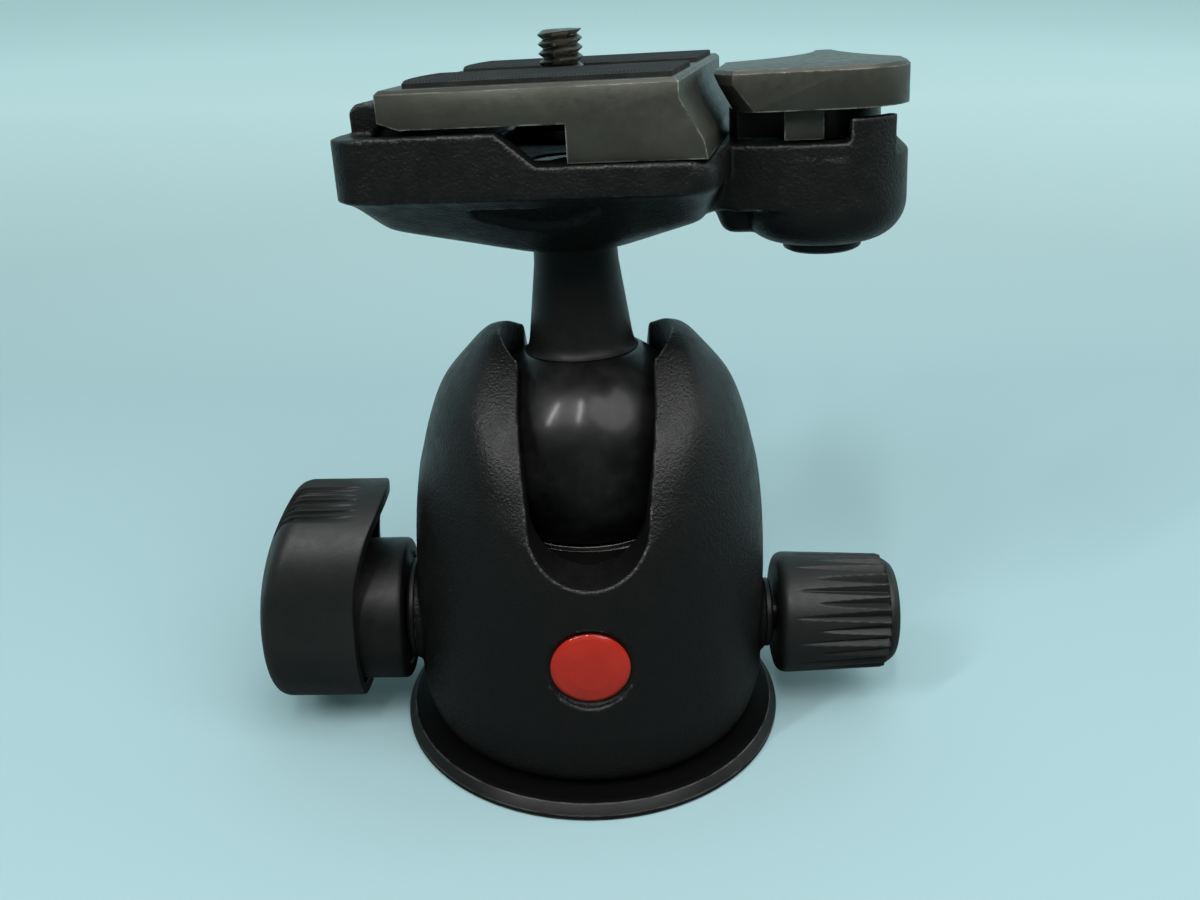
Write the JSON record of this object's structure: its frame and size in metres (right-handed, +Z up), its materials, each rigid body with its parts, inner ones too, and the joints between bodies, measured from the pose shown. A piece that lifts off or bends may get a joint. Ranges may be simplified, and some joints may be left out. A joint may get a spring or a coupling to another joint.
{
  "type": "tripod ball head",
  "caption": "Tripod ball head with panning base, slotted housing, lobed locking knob, friction knob and a lever-clamped quick-release plate.",
  "frame": {"origin": "centre of the base disc's underside, at the mouth of the tripod thread", "axes": "+Z up along the panning axis, +X towards the friction knob, -X towards the locking knob, +Y to the back"},
  "size_m": [0.107, 0.067, 0.112],
  "materials": {
    "body_paint": "black orange-peel powder coat",
    "base_black": "matt black anodised",
    "steel": "turned steel",
    "brass": "turned brass",
    "polymer": "plain bearing polymer",
    "badge_red": "glossy domed resin",
    "ball_black": "hard satin black coating",
    "knob_black": "moulded satin black",
    "hub_black": "satin black",
    "cast_black": "black textured casting",
    "diecast_grey": "grey-brown satin die-cast",
    "pad_rubber": "ribbed black rubber"
  },
  "bodies": {
    "base": {"base_disc": "base_black", "pan_spindle": "steel", "spindle_nut": "steel", "lower_washer": "polymer", "upper_washer": "polymer"},
    "housing": {"housing": "body_paint", "bearing_plate": "steel", "bearing_screws": "steel", "badge": "badge_red", "upper_seats": "polymer", "lock_collar": "hub_black", "friction_collar": "hub_black"},
    "locking_knob": {"lock_knob": "knob_black", "lock_knob_hub": "hub_black", "lock_screw": "steel"},
    "lock_wedge": {"lock_wedge": "brass"},
    "ball_cup": {"ball_cup": "polymer"},
    "friction_knob": {"friction_knob": "knob_black", "friction_knob_cap": "knob_black", "friction_screw": "steel"},
    "friction_wedge": {"friction_wedge": "brass"},
    "liner": {"ball_liner": "polymer"},
    "ball": {"ball": "ball_black"},
    "top": {"stem": "hub_black", "stem_bolt": "steel", "receiver": "cast_black", "lever_pivot": "hub_black", "lever_spring": "steel", "catch_spring": "steel"},
    "lever": {"lever": "diecast_grey"},
    "catch_pin": {"catch_pin": "brass"},
    "plate": {"plate": "diecast_grey", "front_pad": "pad_rubber", "rear_pad": "pad_rubber"},
    "screw_washer": {"screw_washer": "steel"},
    "camera_screw": {"camera_screw": "steel"}
  },
  "joints": [
    {"name": "pan", "type": "hinge", "parent": "base", "child": "housing", "pos_m": [0, 0, 0], "axis": [0, 0, 1], "continuous": true},
    {"name": "lock_turn", "type": "hinge", "parent": "housing", "child": "locking_knob", "pos_m": [-0.04, 0, 0.019], "axis": [-1, 0, 0], "range_deg": [0, 120]},
    {"name": "lock_wedge_slide", "type": "slide", "parent": "housing", "child": "lock_wedge", "axis": [-1, 0, 0], "range_m": [0, 0.00042]},
    {"name": "cup_drop", "type": "slide", "parent": "housing", "child": "ball_cup", "axis": [0, 0, -1], "range_m": [0, 0.00042]},
    {"name": "friction_turn", "type": "hinge", "parent": "housing", "child": "friction_knob", "pos_m": [0.04, 0, 0.0169], "axis": [1, 0, 0], "range_deg": [0, 180]},
    {"name": "friction_wedge_slide", "type": "slide", "parent": "housing", "child": "friction_wedge", "axis": [1, 0, 0], "range_m": [0, 0.00051]},
    {"name": "side_tilt", "type": "hinge", "parent": "housing", "child": "liner", "pos_m": [0, 0, 0.0498], "axis": [0, 1, 0], "range_deg": [-12.5, 17.5]},
    {"name": "tilt", "type": "hinge", "parent": "liner", "child": "ball", "pos_m": [0, 0, 0.0498], "axis": [0.999, 0, 0.0436], "range_deg": [-85.6, 94.4]},
    {"name": "head_turn", "type": "hinge", "parent": "ball", "child": "top", "pos_m": [0, 0, 0.0498], "axis": [-0.0435, 0.0767, 0.9961], "continuous": true},
    {"name": "lever_swing", "type": "hinge", "parent": "top", "child": "lever", "pos_m": [0.03373, -0.00294, 0.10169], "axis": [-0.0435, 0.0767, 0.9961], "range_deg": [-75, 0]},
    {"name": "catch_press", "type": "slide", "parent": "top", "child": "catch_pin", "axis": [-0.0435, 0.0767, 0.9961], "range_m": [-0.0008, 0], "stiffness_N_per_m": 900, "deforming": ["catch_spring"]},
    {"name": "plate_slide", "type": "slide", "parent": "top", "child": "plate", "axis": [0.1888, 0.9797, -0.0672], "range_m": [0, 0.06]},
    {"name": "washer_slide", "type": "slide", "parent": "plate", "child": "screw_washer", "axis": [0.9811, -0.1851, 0.0571], "range_m": [-0.0019, 0.0015]},
    {"name": "camera_screw_turn", "type": "hinge", "parent": "screw_washer", "child": "camera_screw", "pos_m": [-0.00269, 0.00428, 0.10457], "axis": [-0.0435, 0.0767, 0.9961], "continuous": true}
  ],
  "couplings": [
    {"joint": "lock_wedge_slide", "follows": "lock_turn", "m_per_rad": 0.00019894},
    {"joint": "cup_drop", "follows": "lock_turn", "m_per_rad": 0.00019894},
    {"joint": "friction_wedge_slide", "follows": "friction_turn", "m_per_rad": 0.00015915}
  ]
}
